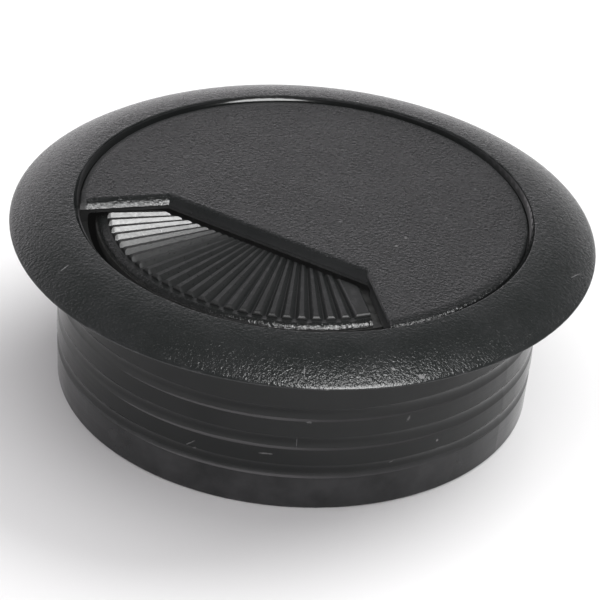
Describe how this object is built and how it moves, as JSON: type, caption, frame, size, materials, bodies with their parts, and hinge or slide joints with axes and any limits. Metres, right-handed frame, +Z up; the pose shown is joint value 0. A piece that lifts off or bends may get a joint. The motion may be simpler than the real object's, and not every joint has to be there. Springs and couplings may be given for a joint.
{
  "type": "desk cable grommet",
  "caption": "Round desk cable grommet: a flanged sleeve for a desk hole, a flush cap with a wedge-shaped cable outlet, and a ribbed shutter that turns under the cap to close it.",
  "frame": {"origin": "on the grommet's axis, in the plane of the flange's underside, which is the top face of the desk", "axes": "+Z up along the axis, away from the desk; -Y towards the cable outlet, so +X is to the right of someone facing the outlet"},
  "size_m": [0.072, 0.072, 0.0242],
  "materials": {
    "sleeve_plastic": "black moulded plastic, fine spark-eroded grain on the flange, satin sleeve",
    "cap_plastic": "black moulded plastic with a fine spark-eroded grain",
    "shutter_plastic": "black moulded plastic, satin ribs"
  },
  "bodies": {
    "sleeve": {"flanged_sleeve": "sleeve_plastic"},
    "cap": {"outlet_cap": "cap_plastic"},
    "shutter": {"ribbed_shutter": "shutter_plastic"}
  },
  "joints": [
    {"name": "cap_turn", "type": "hinge", "parent": "sleeve", "child": "cap", "pos_m": [0, 0, 0], "axis": [0, 0, 1], "continuous": true},
    {"name": "shutter_turn", "type": "hinge", "parent": "cap", "child": "shutter", "pos_m": [0, 0, 0], "axis": [0, 0, -1], "range_deg": [-2.4, 118]}
  ]
}
